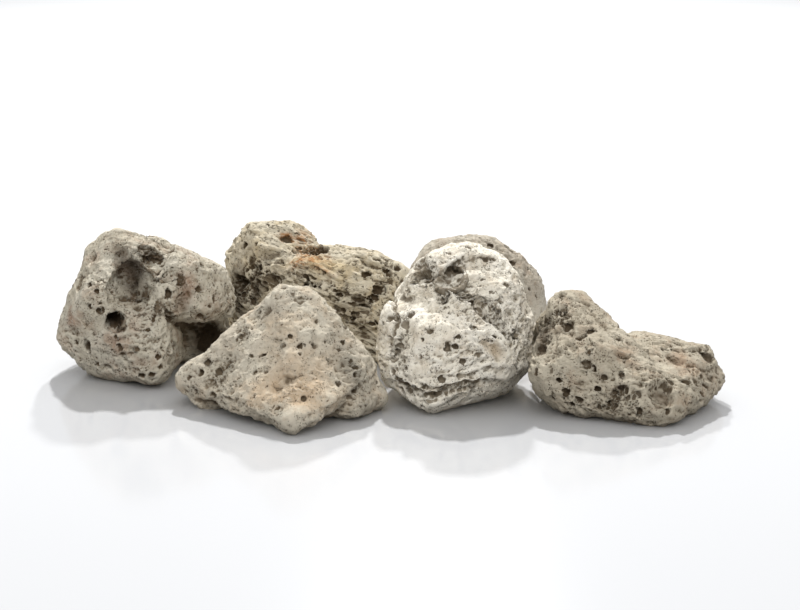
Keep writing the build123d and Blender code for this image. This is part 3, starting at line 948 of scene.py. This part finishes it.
def saddle_stone():
    """An olive-grey stone with a peak, a saddle and a low shoulder, round pits and flat recesses."""
    rock = Rock("saddle_stone", 67, heart=(0.42, 0.5, 0.32))
    rock.swell(20, 1.0)
    rock.swell(7, 0.7, 3)
    rock.evened()
    rock.hollow(0.20, 0.73, 6.0, 4.6, 2.2, wall=0.8, ragged=0.3)
    rock.hollow(0.26, 0.65, 4.6, 3.0, 2.0, wall=0.7, ragged=0.3)
    rock.hollow(0.28, 0.45, 4.8, 4.0, 1.7, wall=0.7, ragged=0.3)
    rock.hollow(0.46, 0.52, 8.5, 3.4, 1.6, wall=0.7, ragged=0.15, brown=0.4)
    rock.hollow(0.74, 0.47, 12, 6, 2.0, wall=0.9, lean=-20, brown=0.3)
    rock.hollow(0.63, 0.22, 10, 9, 2.2, lean=-30, wall=0.35, ragged=0.15, brown=0.3)
    rock.hollow(0.655, 0.30, 5, 6, 1.6, wall=0.5, ragged=0.2, brown=0.3)
    rock.smooth(0.64, 0.24, 9, 10, 0.1)
    rock.hollow(0.41, 0.21, 6, 11, 1.9, lean=-35, wall=0.6, ragged=0.5, brown=0.6)
    rock.hollow(0.06, 0.58, 6, 10, 2.6, wall=0.9, ragged=0.4)
    rock.ledge([(0.11, 0.44), (0.14, 0.58), (0.13, 0.74), (0.16, 0.92)], 7, -1.0, brown=0)
    rock.groove([(0.72, 0.56), (0.82, 0.53), (0.92, 0.50)], 2.4, 1.0, brown=0.3)
    rock.groove([(0.76, 0.46), (0.86, 0.42), (0.95, 0.40)], 2.4, 0.9, brown=0.3)
    rock.ledge([(0.30, 0.92), (0.36, 0.78), (0.44, 0.66)], 5, 1.0)
    rock.roughen(0.16, 0.80, 13, 11, 1.6, 2.2)
    rock.roughen(0.42, 0.18, 16, 12, 1.2, 2.0, brown=0.6)
    rock.smooth(0.20, 0.42, 14, 12, 0.4)
    rock.smooth(0.60, 0.66, 24, 10, 0.3, lean=-15)
    rock.smooth(0.86, 0.50, 14, 14, 0.4)
    rock.roughen(0.84, 0.38, 12, 10, 1.2, 2.0)
    rock.hollow(0.09, 0.72, 8, 16, 1.8, wall=0.8, ragged=0.4, brown=0.5)
    # painted shade on the left flank, in the flat recess and along the foot
    rock.stain_and_shade("dark", 0.07, 0.68, 13, 26, 0.9, ragged=0.3)
    rock.stain_and_shade("dark", 0.64, 0.24, 10, 11, 0.5, ragged=0.1)
    rock.stain_and_shade("dark", 0.45, 0.06, 34, 6, 0.3)
    rock.pits(
        (0.31, 0.70, 2.0, 1.8, 1.6), (0.29, 0.55, 1.5, 1.5, 1.2), (0.78, 0.42, 3.2, 2.0, 1.6),
        (0.77, 0.34, 2.0, 1.6, 1.3), (0.88, 0.29, 3.2, 2.0, 1.6), (0.67, 0.56, 1.7, 1.5, 1.2),
        (0.52, 0.12, 2.2, 2.2, 1.6), (0.21, 0.16, 2.2, 2.0, 1.6), (0.24, 0.20, 2.6, 2.0, 1.7),
        (0.18, 0.25, 3.2, 2.8, 2.0), (0.03, 0.39, 2.2, 2.6, 1.4), (0.12, 0.20, 2.0, 1.8, 1.4),
        (0.36, 0.36, 1.8, 1.6, 1.4), (0.44, 0.38, 2.2, 1.8, 1.6), (0.15, 0.34, 1.8, 1.8, 1.4),
        (0.66, 0.12, 2.2, 1.8, 1.5), (0.33, 0.28, 2.0, 1.8, 1.4), (0.85, 0.24, 2.4, 1.8, 1.4),
    )
    rock.scatter_hollows(22, (3, 10), (1.0, 2.8))
    rock.weather(pitted=0.32, torn=1.2, along=(0.9, 0, -0.4), stretch=1.8)
    rock.stain_and_shade("tan", 0.78, 0.44, 20, 14, 0.9)
    rock.stain_and_shade("tan", 0.46, 0.52, 10, 5, 0.9)
    rock.stain_and_shade("tan", 0.75, 0.18, 11, 8, 0.6)
    return rock.piece(pumice(
        "saddle_pumice", srgb(195, 186, 167), srgb(178, 168, 149), srgb(150, 139, 120),
        srgb(92, 79, 62), tan=srgb(174, 151, 128), pores=0.55,
    ))


STONES = (cratered_stone, wedge_stone, streaked_stone, pale_stone, domed_stone, saddle_stone)
ROCKS = [make() for make in STONES]


# ---------------------------------------------------------------- table, light and camera

# strength of the room's light from the sides, and how much it gains towards the back and overhead
ROOM_LIGHT = 0.28
ROOM_GAIN = (0.0, 0.10, 0.56)
LAMP_DISTANCE = 1.3
TABLE_HALF_WIDTH = 3.0
LENS = 94.5
SENSOR_WIDTH = 36
CAMERA_DISTANCE = 0.7
# from the middle of the CAD box to where the camera aims, in millimetres
AIM_SHIFT = (5.7, -37.0, 9.0)


def table():
    """A glossy white table top."""
    material = bpy.data.materials.new("white_table")
    n = Nodes(material)
    n.plug(WHITE, n.shader.inputs["Base Color"])
    n.plug(0.12, n.shader.inputs["Roughness"])
    n.plug(0.5, n.shader.inputs["Specular IOR Level"])
    half = TABLE_HALF_WIDTH
    mesh = bpy.data.meshes.new("table_top")
    corners = [(-half, -half, 0), (half, -half, 0), (half, half, 0), (-half, half, 0)]
    mesh.from_pydata(corners, [], [(0, 1, 2, 3)])
    mesh.materials.append(material)
    top = placed("table_top", mesh)
    return top


def lamp(name, turn, height, size, power, lit):
    """A round lamp that faces the stones. turn is its bearing, in degrees to the right of straight
    behind them, and height its angle above the table. It shines on the lit objects alone, though
    everything throws a shadow in it."""
    turn, height = math.radians(turn), math.radians(height)
    level = math.cos(height)
    away = Vector((level * math.sin(turn), level * math.cos(turn), math.sin(height)))
    light = bpy.data.lights.new(name, "AREA")
    light.shape = "DISK"
    light.size = size
    light.energy = power
    shade = placed(name, light)
    shade.location = away * LAMP_DISTANCE
    shade.rotation_euler = (-away).to_track_quat("-Z", "Y").to_euler()
    receivers = bpy.data.collections.new("lit_by_" + name)
    for receiver in lit:
        receivers.objects.link(receiver)
    shade.light_linking.receiver_collection = receivers


def room():
    """A white room, brightest overhead. To the camera it is plain white."""
    world = bpy.data.worlds.new("white_room")
    world.use_nodes = True
    tree = world.node_tree
    background = tree.nodes["Background"]
    background.inputs["Color"].default_value = (1, 1, 1, 1)
    gain = tree.nodes.new("ShaderNodeVectorMath")
    gain.operation = "DOT_PRODUCT"
    gain.inputs[1].default_value = ROOM_GAIN
    tree.links.new(tree.nodes.new("ShaderNodeTexCoord").outputs["Generated"], gain.inputs[0])
    strength = tree.nodes.new("ShaderNodeMath")
    strength.use_clamp = True
    strength.inputs[1].default_value = ROOM_LIGHT
    tree.links.new(gain.outputs["Value"], strength.inputs[0])
    seen = tree.nodes.new("ShaderNodeMix")
    seen.inputs["B"].default_value = 1.0
    tree.links.new(strength.outputs["Value"], seen.inputs["A"])
    ray = tree.nodes.new("ShaderNodeLightPath")
    tree.links.new(ray.outputs["Is Camera Ray"], seen.inputs["Factor"])
    tree.links.new(seen.outputs["Result"], background.inputs["Strength"])
    bpy.context.scene.world = world
    bpy.context.scene.view_settings.view_transform = "Standard"


def camera():
    """The camera, which looks along +Y and down by the tilt of the view."""
    aim = (cad_low + cad_high) / 2 + Vector(AIM_SHIFT) * MM
    data = bpy.data.cameras.new("camera")
    data.lens = LENS
    data.sensor_width = SENSOR_WIDTH
    data.clip_start = 0.01
    seer = placed("camera", data)
    seer.location = aim - Vector(SIGHT) * CAMERA_DISTANCE
    seer.rotation_euler = Vector(SIGHT).to_track_quat("-Z", "Y").to_euler()
    bpy.context.scene.camera = seer


table_top = table()
room()
# two lamps behind the stones throw their double shadows forward over the table, and the stones
# themselves are lit by one behind and above, and a broad one in front
lamp("high_lamp", -3, 49, 0.06, 13.5, [table_top])
lamp("low_lamp", 2, 33, 0.06, 9, [table_top])
lamp("back_lamp", -2, 54, 0.12, 18.0, ROCKS)
lamp("front_lamp", 178, 48, 0.7, 7.8, ROCKS)
camera()
